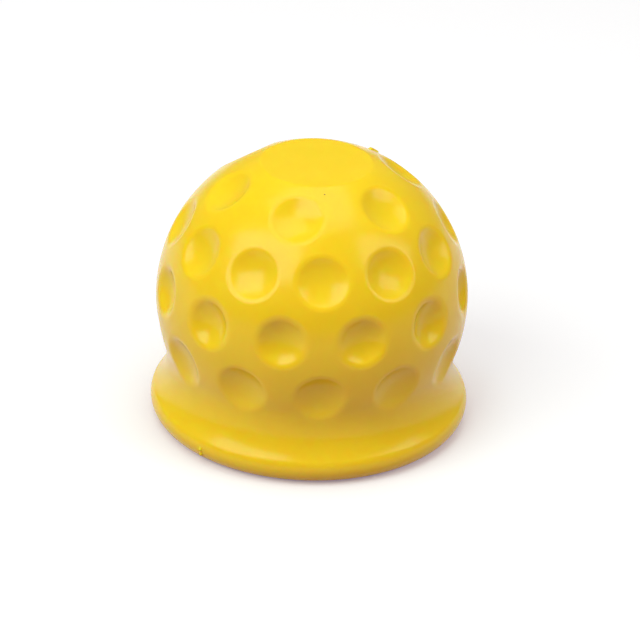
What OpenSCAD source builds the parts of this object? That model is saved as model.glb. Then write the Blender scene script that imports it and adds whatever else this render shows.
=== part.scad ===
// Tow ball cover: a soft cap moulded in one piece, a dimpled ball on a flared skirt.
// It stands on its base at Z = 0. The ball's axis is Z, and the front faces -Y.

/* [Ball] */
// Diameter of the ball-shaped body
ball_d = 68; // [66:0.5:74]
// Height of the ball's centre above the base
ball_h = 28; // [26:0.5:30]
// Diameter of the flat on the crown
crown_d = 24; // [16:1:28]
// Blend radius round the flat
crown_blend = 2; // [0.5:0.5:4]

/* [Skirt] */
// Outer diameter of the rim
rim_d = 70; // [68:0.5:76]
// Radius of the rim's rounded edge
rim_round = 3.6; // [3:0.1:4.2]
// Radius of the hollow curve that runs from the ball out to the rim
waist_round = 12; // [8:0.5:16]

/* [Hollow] */
// Wall between the ball's surface and the socket: 8.5 in a 68 ball leaves 51, to hold a 50 mm tow ball
wall = 8.5; // [7.5:0.25:9]
// How far the throat's lip stands in from the socket, to grip the tow ball
throat_grip = 4; // [3:0.5:5]
// Height of the throat's lower end above the base
throat_h = 8; // [6:0.5:10]
// How far the mouth at the base flares out from the throat
mouth_flare = 5.5; // [4:0.5:6.5]
// Radius of the mouth's rounded edge
mouth_round = 1.2; // [0.6:0.2:2]

/* [Dimples] */
// Diameter of a dimple, measured outside its rounded lip
dimple_d = 12.8; // [11:0.2:13.4]
// Usual depth of a dimple below the ball's surface
dimple_depth = 1.75; // [1.3:0.05:2.1]
// Radius of the rounded lip
dimple_lip = 2.6; // [1.6:0.1:3]

/* [Moulding flash] */
// Width of the trimmed flash left on the parting line
flash_w = 0.9; // [0.6:0.1:1.2]
// How far the flash stands out from the surface
flash_rise = 0.5; // [0.2:0.1:0.6]
// Length of the flash that is left on the ball
flash_l = 2.6; // [2:0.2:5]

/* [Hidden] */
$fn = 96;
cover_colour = [0.95, 0.78, 0.10];

// Overrun of every cut past the surface that it breaks
cut_over = 1;
// A blending arc goes this far past the surfaces that it joins, so that it crosses them at an angle
arc_over = 0.01;
// Above the lip, the side of a dimple's cutter flares out at this angle and over this length
flare_turn = 45;
cutter_flare = 3;

// Rings of dimples: latitude, number in the ring, the first one's turn as a share of the step, and the
// depth as a share of the usual one. A dimple of the second ring faces +X, and so another faces the front.
ring_shares = [
    [54.5, 6, 1 / 4, 1],
    [31.5, 12, 0, 1],
    [9, 12, 1 / 2, 1.37],
    [-13, 12, 0, 1]
];

// Compass direction of the half of the mould's parting plane that faces the front left
parting_turn = 225;
// Latitude of the flash on the back of the ball
flash_lat = 56;
// Angles of the two nubs of flash on the rim, below the middle of the rim's edge
rim_flash_dips = [2, 22];

ball_r = ball_d / 2;
crown_r = crown_d / 2;
rim_r = rim_d / 2;
socket_r = ball_r - wall;
throat_r = socket_r - throat_grip;
mouth_r = throat_r + mouth_flare;

// Section of the outside: middles of its arcs, as [radius from the axis, height]
crown_rise = sqrt(ball_r ^ 2 - crown_r ^ 2);
top_h = ball_h + crown_rise;
ball_mid = [0, ball_h];
rim_mid = [rim_r - rim_round, rim_round - arc_over];

// The crown's edge is rounded by an arc inside the ball
edge_drop = crown_blend - arc_over;
edge_reach = sqrt((ball_r - edge_drop) ^ 2 - (crown_rise - edge_drop) ^ 2);
edge_mid = [edge_reach, top_h - edge_drop];
edge_turn = atan2(edge_mid.y - ball_mid.y, edge_mid.x);

// The hollow curve touches the ball and the rim's round, so its middle lies where two reaches meet
to_ball = ball_r + waist_round - arc_over;
to_rim = rim_round + waist_round - arc_over;
mid_gap = norm(rim_mid - ball_mid);
rim_dip = atan2(ball_mid.y - rim_mid.y, rim_mid.x);
waist_turn = acos((mid_gap ^ 2 + to_ball ^ 2 - to_rim ^ 2) / (2 * mid_gap * to_ball));
waist_mid = ball_mid + to_ball * facing(waist_turn - rim_dip);

// The mouth's edge is rounded where its cone meets the base
mouth_turn = atan2(throat_h, throat_r - mouth_r);
mouth_drop = mouth_round - arc_over;
mouth_mid = [mouth_r + mouth_drop / tan(mouth_turn / 2), mouth_drop];

// Section of a dimple's lip about its own axis, as [radius, distance from the ball's centre]
dimple_turn = asin(dimple_d / 2 / ball_r);
lip_reach = ball_r - dimple_lip + arc_over;
lip_mid = lip_reach * facing(90 - dimple_turn);

// Unit step in a direction
function facing(turn) = [cos(turn), sin(turn)];

// What an arc leaves of a sharp corner, between two directions from the arc's middle
module corner_scrap(mid, r, from, to) {
    reach = r + cut_over;
    corner_points = [for (share = [0 : 1 / 2 : 1]) mid + reach * facing(from + share * (to - from))];
    difference() {
        polygon(concat([mid], corner_points));
        translate(mid)
            circle(r = r);
    }
}

// Half section of the outside: ball, crown, hollow waist and rounded rim
module outer_section() {
    difference() {
        intersection() {
            square([rim_r + cut_over, top_h]);
            union() {
                translate(ball_mid)
                    circle(r = ball_r);
                polygon([ball_mid, waist_mid, rim_mid, [rim_mid.x, 0], [0, 0]]);
                translate(rim_mid)
                    circle(r = rim_round);
            }
        }
        translate(waist_mid)
            circle(r = waist_round);
        corner_scrap(edge_mid, crown_blend, edge_turn, 90);
    }
}

// Half section of the hollow: socket, throat, lead-in and rounded mouth
module hollow_section() {
    intersection() {
        translate(ball_mid)
            circle(r = socket_r);
        square([ball_r, top_h]);
    }
    square([throat_r, ball_h]);
    polygon([[0, 0], [mouth_r, 0], [throat_r, throat_h], [0, throat_h]]);
    corner_scrap(mouth_mid, mouth_round, mouth_turn + 90, 270);
}

// Cutter for a dimple of some depth, standing on the ball's centre with its bowl on Z
module dimple_cutter(depth) {
    floor_reach = ball_r - depth;
    lip_floor = floor_reach - dimple_lip + arc_over;
    bowl_mid = [0, (lip_reach ^ 2 - lip_floor ^ 2) / (2 * (lip_mid.y - lip_floor))];
    bowl_r = bowl_mid.y - floor_reach;
    cutter_top = ball_r + cut_over;
    lip_top = lip_mid + (dimple_lip + arc_over) * facing(90 - dimple_turn);
    flare_top = lip_top + cutter_flare * facing(flare_turn - dimple_turn);
    air_top = bowl_mid.y + ball_r;
    rotate_extrude($fn = 48)
        difference() {
            intersection() {
                square([ball_r, cutter_top]);
                union() {
                    translate(bowl_mid)
                        circle(r = bowl_r);
                    polygon([bowl_mid, lip_mid, lip_top, flare_top, [flare_top.x, air_top], [0, air_top]]);
                }
            }
            translate(lip_mid)
                circle(r = dimple_lip);
        }
}

// All the dimples, placed round the ball's centre
module dimple_cutters() {
    for (ring = ring_shares) {
        step = 360 / ring[1];
        for (i = [0 : ring[1] - 1])
            rotate([0, 90 - ring[0], (i + ring[2]) * step])
                dimple_cutter(ring[3] * dimple_depth);
    }
}

// Flash left where the mould halves met: two nubs on the rim, and a short bead at the back of the ball
module flash() {
    flash_r = flash_w / 2;
    flash_out = flash_rise - flash_r;
    bead_turn = flash_l / ball_r * 180 / PI;
    for (dip = rim_flash_dips)
        rotate([0, 0, parting_turn])
            translate([rim_mid.x, 0, rim_mid.y])
                rotate([0, dip, 0])
                    translate([rim_round + flash_out, 0, 0])
                        sphere(r = flash_r, $fn = 24);
    translate([0, 0, ball_h])
        rotate([90, 0, parting_turn + 180])
            rotate([0, 0, flash_lat - bead_turn / 2])
                rotate_extrude(angle = bead_turn)
                    translate([ball_r + flash_out, 0])
                        circle(r = flash_r, $fn = 24);
}

module cover() {
    color(cover_colour) {
        difference() {
            rotate_extrude()
                difference() {
                    outer_section();
                    hollow_section();
                }
            translate([0, 0, ball_h])
                dimple_cutters();
        }
        flash();
    }
}

cover();
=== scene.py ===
"""Looks of the tow ball cover: one soft, glossy moulding, a dimpled ball on a flared skirt.

The skin is one closed mesh. It is worked out from the same arcs as the CAD solid, with the mesh's
edges laid round each dimple, so that the rounded lips shade cleanly.
"""
import math

import bpy
import numpy as np
from mathutils import Matrix, Quaternion, Vector
from mathutils.geometry import delaunay_2d_cdt


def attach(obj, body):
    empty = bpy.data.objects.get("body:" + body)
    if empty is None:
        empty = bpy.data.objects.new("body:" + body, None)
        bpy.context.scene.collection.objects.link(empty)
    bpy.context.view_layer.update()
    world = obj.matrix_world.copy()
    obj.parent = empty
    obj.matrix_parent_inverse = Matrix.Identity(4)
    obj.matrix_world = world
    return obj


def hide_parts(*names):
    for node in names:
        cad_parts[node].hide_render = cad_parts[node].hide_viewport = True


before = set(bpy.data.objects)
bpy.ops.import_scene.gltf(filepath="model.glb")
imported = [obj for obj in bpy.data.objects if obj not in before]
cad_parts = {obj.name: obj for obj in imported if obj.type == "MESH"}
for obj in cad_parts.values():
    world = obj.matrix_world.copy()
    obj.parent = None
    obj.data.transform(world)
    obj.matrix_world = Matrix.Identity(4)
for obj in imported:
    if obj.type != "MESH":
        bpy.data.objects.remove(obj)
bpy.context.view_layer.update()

MM = 0.001
UP = np.array([0.0, 0.0, 1.0])

# Sizes of the moulding, the same as the CAD's. The throat's edges are rounded only here.
BALL_R = 34 * MM
BALL_H = 28 * MM
CROWN_R = 12 * MM
CROWN_BLEND = 2 * MM
RIM_R = 35 * MM
RIM_ROUND = 3.6 * MM
WAIST_ROUND = 12 * MM
SOCKET_R = 25.5 * MM
THROAT_R = 21.5 * MM
THROAT_H = 8 * MM
THROAT_ROUND = 0.5 * MM
MOUTH_R = 27 * MM
MOUTH_ROUND = 1.2 * MM
DIMPLE_R = 6.4 * MM
DIMPLE_DEPTH = 1.75 * MM
DIMPLE_LIP = 2.6 * MM

# Rings of dimples: latitude, number in the ring, the first one's turn as a share of the step, and the
# depth as a share of the usual one
RING_SHARES = [(54.5, 6, 1 / 4, 1), (31.5, 12, 0, 1), (9, 12, 1 / 2, 1.37), (-13, 12, 0, 1)]

# Trimmed flash on the parting line, which faces this compass direction: a bead at a latitude on the
# back of the ball, a little longer than the CAD's, and nubs at two turns round the rim's edge
PARTING_TURN = 225
FLASH_R = 0.45 * MM
FLASH_FOOT_R = 1.5 * FLASH_R
FLASH_RISE = 0.5 * MM
BEAD_LAT = 56
BEAD_L = 3.4 * MM
NUB_TURNS = (-2, -22)

# A speck of dirt moulded into the skin under the crown
SPECK_MID = (0.9 * MM, -14.1 * MM, 58.9 * MM)
SPECK_R = 0.16 * MM

# The dimpled skin lies between these latitudes
DIMPLED_TOP = 66.5
DIMPLED_FOOT = -24.3

# Steps of the mesh: columns round the axis, lengths, and turns in degrees along the section's arcs
COLUMNS = 240
SKIN_STEP = 0.9 * MM
BOWL_STEP = 0.75 * MM
FLAT_STEP = 1 * MM
FLASH_STEP = 0.12 * MM
BALL_ARC_STEP = 0.9
WIDE_ARC_STEP = 4
RIM_ARC_STEP = 5
NUB_ARC_STEP = 1.9
SOCKET_ARC_STEP = 3.5
SMALL_ARC_STEP = 9

# Rings of points in a dimple's bowl and on its lip, the fewest points in a ring of the bowl, and the
# points in each ring of the lip
BOWL_RINGS = 8
LIP_RINGS = 8
BOWL_POINTS = 8
LIP_POINTS = 72

# Close points go on past a dimple and past the bead by a collar, and the plain points stay clear
DIMPLE_COLLAR = 0.25 * MM
DIMPLE_CLEAR = 0.8 * MM
BEAD_COLLAR = 3 * FLASH_STEP
BEAD_CLEAR = 6 * FLASH_STEP

# Close rows on the rim go this many degrees past the nubs, and this many close columns stand on each
# side of the parting line
NUB_CLEAR = 12
FINE_COLUMNS = 8

# Points of the section nearer to each other than this share a place, and so do points of the flat map
SAME_PLACE = 0.001 * MM
SAME_ON_MAP = 1e-9

# How far off the skin is felt for its normals, as a share of the distance from the ball's centre
NORMAL_STEP = 0.0002


def facing(turn):
    """Unit step in the section, at an angle in degrees from the radius."""
    return np.array([math.cos(math.radians(turn)), math.sin(math.radians(turn))])


def turn_of(step):
    """Angle in degrees of a step in the section."""
    return math.degrees(math.atan2(step[1], step[0]))


# Middles of the section's arcs, as [radius from the axis, height above the ball's centre]
CROWN_RISE = math.sqrt(BALL_R ** 2 - CROWN_R ** 2)
EDGE_MID = np.array([
    math.sqrt((BALL_R - CROWN_BLEND) ** 2 - (CROWN_RISE - CROWN_BLEND) ** 2),
    CROWN_RISE - CROWN_BLEND,
])
EDGE_TURN = turn_of(EDGE_MID)
RIM_MID = np.array([RIM_R - RIM_ROUND, RIM_ROUND - BALL_H])
TO_BALL = BALL_R + WAIST_ROUND
TO_RIM = RIM_ROUND + WAIST_ROUND
MID_GAP = float(np.linalg.norm(RIM_MID))
WAIST_COSINE = (MID_GAP ** 2 + TO_BALL ** 2 - TO_RIM ** 2) / (2 * MID_GAP * TO_BALL)
WAIST_SPREAD = math.degrees(math.acos(WAIST_COSINE))
WAIST_LAT = turn_of(RIM_MID) + WAIST_SPREAD
WAIST_MID = TO_BALL * facing(WAIST_LAT)
RIM_TURN = turn_of(WAIST_MID - RIM_MID)

# Section of a dimple's lip: the middle of its arc, from the ball's centre
DIMPLE_TURN = math.degrees(math.asin(DIMPLE_R / BALL_R))
LIP_REACH = BALL_R - DIMPLE_LIP
LIP_MID = LIP_REACH * facing(90 - DIMPLE_TURN)


def reach_to_arc(along, mid, r, far):
    """How far a ray from the ball's centre goes to an arc, given its unit steps."""
    dot = along @ mid
    root = np.sqrt(np.maximum(dot ** 2 - mid @ mid + r ** 2, 0))
    return dot + root if far else dot - root


def skin_reach(lat):
    """Distance from the ball's centre to the undimpled skin, by latitude in radians."""
    along = np.stack([np.cos(lat), np.sin(lat)], -1)
    waist_foot = math.radians(turn_of(RIM_MID + RIM_ROUND * facing(RIM_TURN)))
    ball_foot = math.radians(WAIST_LAT)
    ball_top = math.radians(EDGE_TURN)
    flat_edge = math.atan2(CROWN_RISE, EDGE_MID[0])
    return np.select(
        [lat > flat_edge, lat > ball_top, lat > ball_foot, lat > waist_foot],
        [
            CROWN_RISE / np.sin(np.maximum(lat, ball_top)),
            reach_to_arc(along, EDGE_MID, CROWN_BLEND, True),
            BALL_R,
            reach_to_arc(along, WAIST_MID, WAIST_ROUND, False),
        ],
        reach_to_arc(along, RIM_MID, RIM_ROUND, True),
    )


def dimple_axes():
    """Where each dimple faces, and its depth."""
    axes, depths = [], []
    for lat, number, turn_share, depth_share in RING_SHARES:
        for i in range(number):
            turn = math.radians((i + turn_share) * 360 / number)
            out, rise = facing(lat)
            axes.append([out * math.cos(turn), out * math.sin(turn), rise])
            depths.append(depth_share * DIMPLE_DEPTH)
    return np.array(axes), np.array(depths)


AXES, DEPTHS = dimple_axes()


def bowl_arc(depth):
    """Middle and radius of a bowl's arc, and the angle from the dimple's axis where the lip begins."""
    lip_floor = BALL_R - depth - DIMPLE_LIP
    bowl_mid = np.array([0, (LIP_REACH ** 2 - lip_floor ** 2) / (2 * (LIP_MID[1] - lip_floor))])
    bowl_r = bowl_mid[1] - (BALL_R - depth)
    meets = LIP_MID + DIMPLE_LIP * (bowl_mid - LIP_MID) / np.linalg.norm(bowl_mid - LIP_MID)
    return bowl_mid, bowl_r, math.atan2(meets[0], meets[1])


def dimple_dip(turn, depths):
    """How far a dimple lies below the ball, by the angle from its axis in radians."""
    along = np.stack([np.sin(turn), np.cos(turn)], -1)
    reach = reach_to_arc(along, LIP_MID, DIMPLE_LIP, True)
    for depth in np.unique(DEPTHS):
        bowl_mid, bowl_r, lip_foot = bowl_arc(depth)
        in_bowl = (depths == depth) & (turn < lip_foot)
        reach = np.where(in_bowl, reach_to_arc(along, bowl_mid, bowl_r, False), reach)
    return np.where(turn < math.radians(DIMPLE_TURN), BALL_R - reach, 0)


def skin_points(steps):
    """Points of the dimpled skin in the directions given, seen from the ball's centre."""
    steps = steps / np.linalg.norm(steps, axis=1, keepdims=True)
    nearness = steps @ AXES.T
    nearest = np.argmax(nearness, axis=1)
    turn = np.arccos(np.minimum(np.max(nearness, axis=1), 1))
    reach = skin_reach(np.arcsin(steps[:, 2])) - dimple_dip(turn, DEPTHS[nearest])
    return steps * reach[:, None] + BALL_H * UP


def skin_normals(steps):
    """Normals of the dimpled skin, from points close by."""
    east = np.cross(UP, steps)
    east /= np.linalg.norm(east, axis=1, keepdims=True)
    north = np.cross(steps, east)
    across = skin_points(steps + NORMAL_STEP * east) - skin_points(steps - NORMAL_STEP * east)
    along = skin_points(steps + NORMAL_STEP * north) - skin_points(steps - NORMAL_STEP * north)
    normals = np.cross(across, along)
    return normals / np.linalg.norm(normals, axis=1, keepdims=True)


def arc_rows(mid, r, start, stop, step, hollow=False):
    """Rows of a round stretch of the section: radius, height above the ball's centre, and normal."""
    count = max(1, math.ceil(abs(stop - start) / step))
    turns = np.radians(np.linspace(start, stop, count + 1))
    out = np.stack([np.cos(turns), np.sin(turns)], 1)
    return np.hstack([mid + r * out, -out if hollow else out])


def line_rows(start, stop, step):
    """Rows of a straight stretch of the section, with the open air on its left."""
    start, stop = np.array(start, float), np.array(stop, float)
    count = max(1, math.ceil(np.linalg.norm(stop - start) / step))
    share = np.linspace(0, 1, count + 1)[:, None]
    way = (stop - start) / np.linalg.norm(stop - start)
    normals = np.tile([-way[1], way[0]], (count + 1, 1))
    return np.hstack([start + share * (stop - start), normals])


def join_rows(stretches):
    """One run of rows, without the second of two that share a place."""
    rows = np.vstack(stretches)
    moved = np.linalg.norm(np.diff(rows[:, :2], axis=0), axis=1) > SAME_PLACE
    return rows[np.concatenate([[True], moved])]


def crown_section():
    """From the middle of the flat down to the dimpled skin."""
    flat_end = [EDGE_MID[0], CROWN_RISE]
    return join_rows([
        line_rows([0, CROWN_RISE], flat_end, FLAT_STEP),
        arc_rows(EDGE_MID, CROWN_BLEND, 90, EDGE_TURN, WIDE_ARC_STEP),
        arc_rows(np.zeros(2), BALL_R, EDGE_TURN, DIMPLED_TOP, BALL_ARC_STEP),
    ])


def skirt_section():
    """From the foot of the dimpled skin down the waist, round the rim and up through the hollow."""
    base = -BALL_H
    foot = skin_reach(np.array([math.radians(DIMPLED_FOOT)]))[0] * facing(DIMPLED_FOOT)
    waist_start = turn_of(foot - WAIST_MID) % 360
    nub_high = max(NUB_TURNS) + NUB_CLEAR
    nub_low = min(NUB_TURNS) - NUB_CLEAR
    cone_turn = turn_of([THROAT_R - MOUTH_R, THROAT_H])
    cone_normal = cone_turn + 90
    mouth_reach = MOUTH_R + MOUTH_ROUND / math.tan(math.radians(cone_turn / 2))
    mouth_mid = np.array([mouth_reach, base + MOUTH_ROUND])
    lip_rise = THROAT_ROUND * math.tan(math.radians((cone_turn - 90) / 2))
    lip_mid = np.array([THROAT_R + THROAT_ROUND, base + THROAT_H + lip_rise])
    edge_drop = math.sqrt((SOCKET_R + THROAT_ROUND) ** 2 - (THROAT_R + THROAT_ROUND) ** 2)
    edge_mid = np.array([THROAT_R + THROAT_ROUND, -edge_drop])
    edge_turn = turn_of(edge_mid)
    return join_rows([
        arc_rows(WAIST_MID, WAIST_ROUND, waist_start, 180 + RIM_TURN, WIDE_ARC_STEP, hollow=True),
        arc_rows(RIM_MID, RIM_ROUND, RIM_TURN, nub_high, RIM_ARC_STEP),
        arc_rows(RIM_MID, RIM_ROUND, nub_high, nub_low, NUB_ARC_STEP),
        arc_rows(RIM_MID, RIM_ROUND, nub_low, -90, RIM_ARC_STEP),
        line_rows([RIM_MID[0], base], [mouth_mid[0], base], FLAT_STEP),
        arc_rows(mouth_mid, MOUTH_ROUND, 270, cone_normal, SMALL_ARC_STEP),
        arc_rows(lip_mid, THROAT_ROUND, cone_normal, 180, SMALL_ARC_STEP),
        arc_rows(edge_mid, THROAT_ROUND, 180, 180 + edge_turn, SMALL_ARC_STEP),
        arc_rows(np.zeros(2), SOCKET_R, edge_turn, 90, SOCKET_ARC_STEP, hollow=True),
    ])


def column_turns():
    """Compass directions of the mesh's columns, closer together at the flash on the rim."""
    close = np.arange(-FINE_COLUMNS, FINE_COLUMNS + 1) * FLASH_STEP / RIM_R
    fine = close + math.radians(PARTING_TURN)
    plain = np.arange(COLUMNS) * 2 * math.pi / COLUMNS
    clear = np.abs(plain - math.radians(PARTING_TURN)) > fine.max() - fine.min()
    return np.sort(np.concatenate([plain[clear], fine]))


def revolve(rows, turns):
    """Points and normals of every row at every column."""
    spin = np.stack([np.cos(turns), np.sin(turns)], 1)
    points, normals = [], []
    for out, rise, normal_out, normal_rise in rows:
        points.append(np.column_stack([out * spin, np.full(len(turns), rise + BALL_H)]))
        normals.append(np.column_stack([normal_out * spin, np.full(len(turns), normal_rise)]))
    return np.vstack(points), np.vstack(normals)


def circle_steps(axis, turn, number):
    """Unit steps on a circle round an axis, at an angle from it in radians."""
    east = np.cross(UP, axis)
    east /= np.linalg.norm(east)
    north = np.cross(axis, east)
    spin = np.arange(number) * 2 * math.pi / number
    ring = np.cos(spin)[:, None] * east + np.sin(spin)[:, None] * north
    return math.cos(turn) * axis + math.sin(turn) * ring


def dimple_steps(axis, depth):
    """Directions of the mesh's points in one dimple: the bowl's rings, then the lip's close ones."""
    bowl_end = bowl_arc(depth)[2]
    lip_end = math.radians(DIMPLE_TURN)
    steps = [axis[None]]
    for turn in np.linspace(0, bowl_end, BOWL_RINGS)[1:-1]:
        number = round(2 * math.pi * turn * BALL_R / BOWL_STEP)
        steps.append(circle_steps(axis, turn, max(BOWL_POINTS, number)))
    for turn in np.linspace(bowl_end, lip_end, LIP_RINGS):
        steps.append(circle_steps(axis, turn, LIP_POINTS))
    steps.append(circle_steps(axis, lip_end + DIMPLE_COLLAR / BALL_R, LIP_POINTS))
    return np.vstack(steps)


def bead_frame():
    """Direction of the bead on the ball, and unit steps across and along the parting line."""
    out, rise = facing(BEAD_LAT)
    turn = math.radians(PARTING_TURN + 180)
    axis = np.array([out * math.cos(turn), out * math.sin(turn), rise])
    east = np.array([-math.sin(turn), math.cos(turn), 0])
    return axis, east, np.cross(axis, east)


def bead_steps():
    """Directions of the close points under and round the bead on the back of the ball."""
    axis, east, north = bead_frame()
    half_w = FLASH_R + BEAD_COLLAR
    half_l = BEAD_L / 2 + BEAD_COLLAR
    across = np.arange(-half_w, half_w + FLASH_STEP / 2, FLASH_STEP) / BALL_R
    along = np.arange(-half_l, half_l + FLASH_STEP / 2, FLASH_STEP) / BALL_R
    grid = axis + across[:, None, None] * east + along[None, :, None] * north
    grid = grid.reshape(-1, 3)
    return grid / np.linalg.norm(grid, axis=1, keepdims=True)


def plain_steps():
    """Directions of the points between the dimples, in rows of latitude."""
    steps = []
    gap = SKIN_STEP / BALL_R
    rows = np.arange(math.radians(DIMPLED_FOOT) + gap, math.radians(DIMPLED_TOP) - gap / 2, gap)
    for k, lat in enumerate(rows):
        out = math.cos(lat)
        number = round(2 * math.pi * out / gap)
        turns = (np.arange(number) + k % 2 / 2) * 2 * math.pi / number
        rises = np.full(number, math.sin(lat))
        steps.append(np.stack([out * np.cos(turns), out * np.sin(turns), rises], 1))
    steps = np.vstack(steps)
    off_dimple = math.radians(DIMPLE_TURN) + DIMPLE_CLEAR / BALL_R
    clear = np.max(steps @ AXES.T, axis=1) < math.cos(off_dimple)
    bead, _, _ = bead_frame()
    off_bead = (BEAD_L / 2 + BEAD_CLEAR) / BALL_R
    clear &= steps @ bead < math.cos(off_bead)
    return steps[clear]


def flat_map(steps):
    """The directions laid flat by a map that keeps circles round."""
    return steps[:, :2] / (1 + steps[:, 2:3])


def raise_flash(points, normals):
    """Lifts the points under the flash, and says which they are."""
    axis, _, north = bead_frame()
    bead_mid = axis * BALL_R + BALL_H * UP
    turn = math.radians(PARTING_TURN)
    beads = [(bead_mid, north, BEAD_L / 2 - FLASH_R)]
    for nub_turn in NUB_TURNS:
        out, rise = RIM_MID + RIM_ROUND * facing(nub_turn)
        nub_mid = np.array([out * math.cos(turn), out * math.sin(turn), rise + BALL_H])
        beads.append((nub_mid, UP, 0))
    lift = np.zeros(len(points))
    touched = np.zeros(len(points), bool)
    for mid, way, half in beads:
        gap = points - mid
        gap = gap - np.clip(gap @ way, -half, half)[:, None] * way
        off = np.linalg.norm(gap, axis=1)
        lift = np.maximum(lift, FLASH_RISE * np.sqrt(np.clip(1 - (off / FLASH_R) ** 2, 0, 1)))
        touched |= off < FLASH_FOOT_R
    return points + lift[:, None] * normals, touched


def mean_normals(points, triangles):
    """Normals of the points as the mean of their triangles'."""
    a, b, c = (points[triangles[:, k]] for k in range(3))
    cross = np.cross(b - a, c - a)
    total = np.zeros_like(points)
    for k in range(3):
        np.add.at(total, triangles[:, k], cross)
    return total / np.linalg.norm(total, axis=1, keepdims=True)


def band(first, count, width):
    """Quads between rows of points that follow each other, from a first point on."""
    column = np.arange(width)
    following = (column + 1) % width
    quads = []
    for i in range(count - 1):
        row = first + i * width
        corners = [row + column, row + width + column, row + width + following, row + following]
        quads.append(np.stack(corners, 1))
    return np.vstack(quads)


def dimpled_net(steps, turns):
    """Triangles over the rows of columns at the skin's top and foot and the steps between them."""
    spin = np.stack([np.cos(turns), np.sin(turns)], 1)
    top_out, top_rise = facing(DIMPLED_TOP)
    foot_out, foot_rise = facing(DIMPLED_FOOT)
    top_ring = spin * top_out / (1 + top_rise)
    foot_ring = spin * foot_out / (1 + foot_rise)
    flat = np.vstack([top_ring, flat_map(steps), foot_ring])
    net = delaunay_2d_cdt([Vector(p) for p in flat], [], [], 0, SAME_ON_MAP)
    source = np.array([sources[0] for sources in net[3]])
    triangles = source[np.array(net[2])]
    in_crown = np.all(triangles < len(turns), axis=1)
    return triangles[~in_crown]


def cover_mesh():
    """The whole closed skin: crown, dimpled ball, waist, rim, base, mouth, throat and socket."""
    turns = column_turns()
    width = len(turns)
    crown, skirt = crown_section(), skirt_section()
    crown_points, crown_normals = revolve(crown[1:], turns)
    skirt_points, skirt_normals = revolve(skirt[:-1], turns)
    steps = [dimple_steps(axis, depth) for axis, depth in zip(AXES, DEPTHS)]
    steps = np.vstack(steps + [bead_steps(), plain_steps()])
    top = [[0, 0, BALL_H + CROWN_RISE]]
    apex = [[0, 0, BALL_H + SOCKET_R]]
    points = np.vstack([top, crown_points, skin_points(steps), skirt_points, apex])
    normals = np.vstack([[UP], crown_normals, skin_normals(steps), skirt_normals, [-UP]])

    # The points stand in this order: the top, the crown's rows, the steps, the skirt's rows, the apex
    first_step = 1 + len(crown_points)
    first_skirt = first_step + len(steps)
    last = len(points) - 1
    column = np.arange(width)
    following = (column + 1) % width
    crown_ring = first_step - width
    last_ring = last - width
    net_triangles = crown_ring + dimpled_net(steps, turns)
    crown_fan = np.stack([np.zeros(width, int), 1 + column, 1 + following], 1)
    apex_fan = np.stack([last_ring + column, np.full(width, last), last_ring + following], 1)
    triangles = np.vstack([crown_fan, net_triangles, apex_fan])
    quads = np.vstack([band(1, len(crown) - 1, width), band(first_skirt, len(skirt) - 1, width)])

    points, touched = raise_flash(points, normals)
    halves = np.vstack([triangles, quads[:, [0, 1, 2]], quads[:, [0, 2, 3]]])
    normals[touched] = mean_normals(points, halves)[touched]

    mesh = bpy.data.meshes.new("cover_skin")
    mesh.from_pydata(points.tolist(), [], quads.tolist() + triangles.tolist())
    mesh.shade_smooth()
    mesh.normals_split_custom_set_from_vertices(normals.tolist())
    return mesh


def link(obj):
    """Puts an object in the scene."""
    bpy.context.scene.collection.objects.link(obj)
    return obj


def calculated(tree, operation, first, second):
    """The result of a maths node on a socket and another socket or a number."""
    node = tree.nodes.new("ShaderNodeMath")
    node.operation = operation
    tree.links.new(first, node.inputs[0])
    if isinstance(second, float):
        node.inputs[1].default_value = second
    else:
        tree.links.new(second, node.inputs[1])
    return node.outputs[0]


def blended(tree, share, low, high, low_at=0.0, high_at=1.0):
    """A colour that runs from one to another as the share in a socket goes up."""
    node = tree.nodes.new("ShaderNodeValToRGB")
    stops = node.color_ramp.elements
    stops[0].position = low_at
    stops[1].position = high_at
    stops[0].color = (*low, 1)
    stops[1].color = (*high, 1)
    tree.links.new(share, node.inputs["Fac"])
    return node.outputs["Color"]


# Material of the moulding: the yellow and its polish vary a little between two values
YELLOW_DEEP = (0.86, 0.66, 0.014)
YELLOW_PALE = (0.90, 0.69, 0.020)
SPECK_BROWN = (0.16, 0.08, 0.01)
POLISH_FINE = (0.18, 0.18, 0.18)
POLISH_DULL = (0.22, 0.22, 0.22)
CLOUD_EDGES = (0.3, 0.7)

# Where a mix node's colours come in, and its mixed colour comes out
MIX_FIRST = 6
MIX_SECOND = 7
MIX_RESULT = 2


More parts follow.
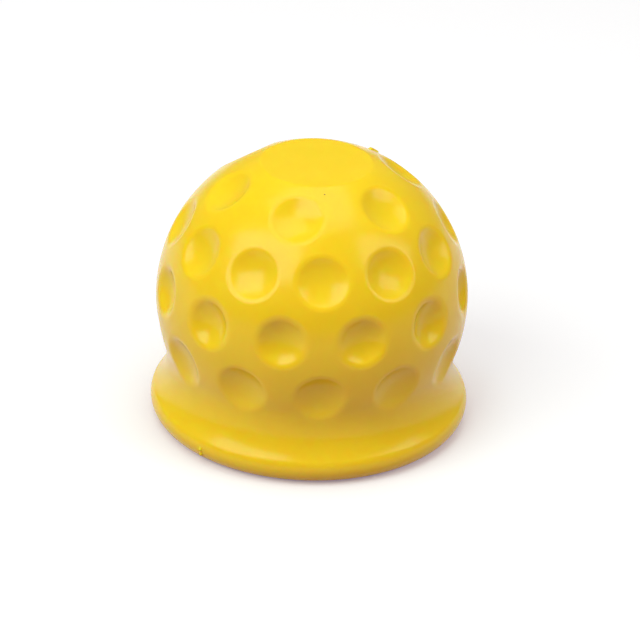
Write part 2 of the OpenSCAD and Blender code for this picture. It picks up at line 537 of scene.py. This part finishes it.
def soft_plastic():
    """Glossy soft plastic in a warm yellow, which light goes a little way into."""
    material = bpy.data.materials.new("soft_yellow")
    material.use_nodes = True
    tree = material.node_tree
    shader = tree.nodes["Principled BSDF"]
    shader.inputs["IOR"].default_value = 1.35
    shader.inputs["Subsurface Weight"].default_value = 1.0
    shader.inputs["Subsurface Radius"].default_value = (1.0, 0.5, 0.1)
    shader.inputs["Subsurface Scale"].default_value = 1.5 * MM
    place = tree.nodes.new("ShaderNodeTexCoord").outputs["Object"]

    def noise(scale, detail):
        """The share from a cloudy pattern fixed to the part."""
        node = tree.nodes.new("ShaderNodeTexNoise")
        node.inputs["Scale"].default_value = scale
        node.inputs["Detail"].default_value = detail
        tree.links.new(place, node.inputs["Vector"])
        return node.outputs["Fac"]

    clouds = blended(tree, noise(scale=90, detail=3), YELLOW_DEEP, YELLOW_PALE, *CLOUD_EDGES)
    away = tree.nodes.new("ShaderNodeVectorMath")
    away.operation = "DISTANCE"
    away.inputs[1].default_value = SPECK_MID
    tree.links.new(place, away.inputs[0])
    in_speck = calculated(tree, "LESS_THAN", away.outputs["Value"], SPECK_R)
    specked = tree.nodes.new("ShaderNodeMix")
    specked.data_type = "RGBA"
    tree.links.new(in_speck, specked.inputs["Factor"])
    tree.links.new(clouds, specked.inputs[MIX_FIRST])
    specked.inputs[MIX_SECOND].default_value = (*SPECK_BROWN, 1)
    tree.links.new(specked.outputs[MIX_RESULT], shader.inputs["Base Color"])

    polish = blended(tree, noise(scale=400, detail=2), POLISH_FINE, POLISH_DULL, *CLOUD_EDGES)
    tree.links.new(polish, shader.inputs["Roughness"])
    skin = tree.nodes.new("ShaderNodeBump")
    skin.inputs["Strength"].default_value = 0.03
    skin.inputs["Distance"].default_value = 0.05 * MM
    tree.links.new(noise(scale=700, detail=2), skin.inputs["Height"])
    tree.links.new(skin.outputs["Normal"], shader.inputs["Normal"])
    return material


cover = link(bpy.data.objects.new("cover_skin", cover_mesh()))
cover.data.materials.append(soft_plastic())
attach(cover, "root")
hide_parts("cover")


# Camera: where it stands round the ball's centre, and where the photograph shows that centre
IMAGE_PX = 640
BALL_PX = (311.9, 294.0)
FOCAL_PX = 3116
CAMERA_REACH = 680 * MM
CAMERA_TURN = 265.6
CAMERA_LIFT = 27.57
CAMERA_ROLL = 1.9
CAMERA_NEAR = 50 * MM
CAMERA_FAR = 20000 * MM

# Lamps, room and floor
LAMP_REACH = 900 * MM
LAMP_COLOUR = (0.92, 1, 1)
ROOM_COLOUR = (1, 0.68, 0.48)
FLOOR_REACH = 3000 * MM
FLOOR_DROP = 0.02 * MM
FLOOR_BOUNCE = (0.36, 0.23, 0.14)
FLOOR_PAINT = (0.75, 0.77, 0.74)
# Glow of the floor: a dim, warm colour close to the part is a painted shadow, and the open floor glows
# evenly
PAINTED_SHADOW_GLOW = (0.52, 0.45, 0.6)
GLOW_OPEN = (0.63, 0.76, 1)
FLOOR_GLOW = 0.39


def place_camera():
    """Stands the camera where the photograph's was, and aims it the same way."""
    ball_mid = Vector((0, 0, BALL_H))
    out, rise = facing(CAMERA_LIFT)
    around = facing(CAMERA_TURN)
    back = Vector((out * around[0], out * around[1], rise))
    level = Vector((0, 0, 1)).cross(back).normalized()
    upright = back.cross(level)
    roll_across, roll_up = facing(CAMERA_ROLL)
    right = level * roll_across + upright * roll_up
    up = upright * roll_across - level * roll_up
    place = ball_mid + back * CAMERA_REACH
    per_px = CAMERA_REACH / FOCAL_PX
    ball_left = (IMAGE_PX / 2 - BALL_PX[0]) * per_px
    ball_above = (IMAGE_PX / 2 - BALL_PX[1]) * per_px
    aim = ball_mid + right * ball_left - up * ball_above
    back = (place - aim).normalized()
    right = up.cross(back).normalized()
    up = back.cross(right)
    data = bpy.data.cameras.new("camera")
    data.sensor_width = 36
    data.lens = FOCAL_PX / IMAGE_PX * data.sensor_width
    data.clip_start = CAMERA_NEAR
    data.clip_end = CAMERA_FAR
    camera = link(bpy.data.objects.new("camera", data))
    turned = Matrix((right, up, back)).transposed().to_4x4()
    camera.matrix_world = Matrix.Translation(place) @ turned
    bpy.context.scene.camera = camera


def softbox(name, turn, lift, roll, size, power):
    """A flat lamp that faces the ball: turn to the right of the camera, lift and roll in degrees."""
    data = bpy.data.lights.new(name, "AREA")
    data.shape = "RECTANGLE"
    data.size, data.size_y = size
    data.energy = power
    data.color = LAMP_COLOUR
    lamp = link(bpy.data.objects.new(name, data))
    out, rise = facing(lift)
    around = facing(CAMERA_TURN + turn)
    step = Vector((out * around[0], out * around[1], rise))
    lamp.location = Vector((0, 0, BALL_H)) + step * LAMP_REACH
    turned = step.to_track_quat("Z", "Y") @ Quaternion((0, 0, 1), math.radians(roll))
    lamp.rotation_euler = turned.to_euler()


def warm_room():
    """The world: an even, dim and warm light from all round."""
    world = bpy.data.worlds.new("room")
    bpy.context.scene.world = world
    world.use_nodes = True
    background = world.node_tree.nodes["Background"]
    background.inputs["Color"].default_value = (*ROOM_COLOUR, 1)
    background.inputs["Strength"].default_value = 0.45


def floor_paint():
    """Matt, pale with a glow to the camera and the reflections, a painted warm shadow where that glow
    dims close to the part, and a warm brown to other light.
    """
    material = bpy.data.materials.new("white_floor")
    material.use_nodes = True
    tree = material.node_tree
    shader = tree.nodes["Principled BSDF"]
    shader.inputs["Roughness"].default_value = 0.7
    shader.inputs["Specular IOR Level"].default_value = 0.2
    rays = tree.nodes.new("ShaderNodeLightPath").outputs
    seen = calculated(tree, "MAXIMUM", rays["Is Camera Ray"], rays["Is Glossy Ray"])
    seen = calculated(tree, "MAXIMUM", seen, rays["Is Transmission Ray"])
    paint = blended(tree, seen, FLOOR_BOUNCE, FLOOR_PAINT)
    tree.links.new(paint, shader.inputs["Base Color"])

    # Close to the part, the glow is dimmer and warmer: a painted shadow on the floor round the part
    painted_shadow_ao = tree.nodes.new("ShaderNodeAmbientOcclusion")
    painted_shadow_ao.samples = 8
    painted_shadow_ao.inputs["Distance"].default_value = 12 * MM
    glow = blended(tree, painted_shadow_ao.outputs["AO"], PAINTED_SHADOW_GLOW, GLOW_OPEN, low_at=0.3)
    tree.links.new(glow, shader.inputs["Emission Color"])
    strength = calculated(tree, "MULTIPLY", seen, FLOOR_GLOW)
    tree.links.new(strength, shader.inputs["Emission Strength"])
    return material


def floor():
    """A flat floor, a hair below the base, so that the two don't share a plane."""
    mesh = bpy.data.meshes.new("floor")
    spots = [(-1, -1), (1, -1), (1, 1), (-1, 1)]
    corners = [(x * FLOOR_REACH, y * FLOOR_REACH, -FLOOR_DROP) for x, y in spots]
    mesh.from_pydata(corners, [], [(0, 1, 2, 3)])
    obj = link(bpy.data.objects.new("floor", mesh))
    mesh.materials.append(floor_paint())


place_camera()
softbox("left_softbox", turn=-51, lift=44, roll=30, size=(830 * MM, 600 * MM), power=5.2)
softbox("right_softbox", turn=75, lift=37, roll=-48, size=(630 * MM, 360 * MM), power=1.8)
softbox("top_softbox", turn=182, lift=87, roll=20, size=(750 * MM, 680 * MM), power=2.8)
warm_room()
floor()

view = bpy.context.scene.view_settings
view.view_transform = "Standard"
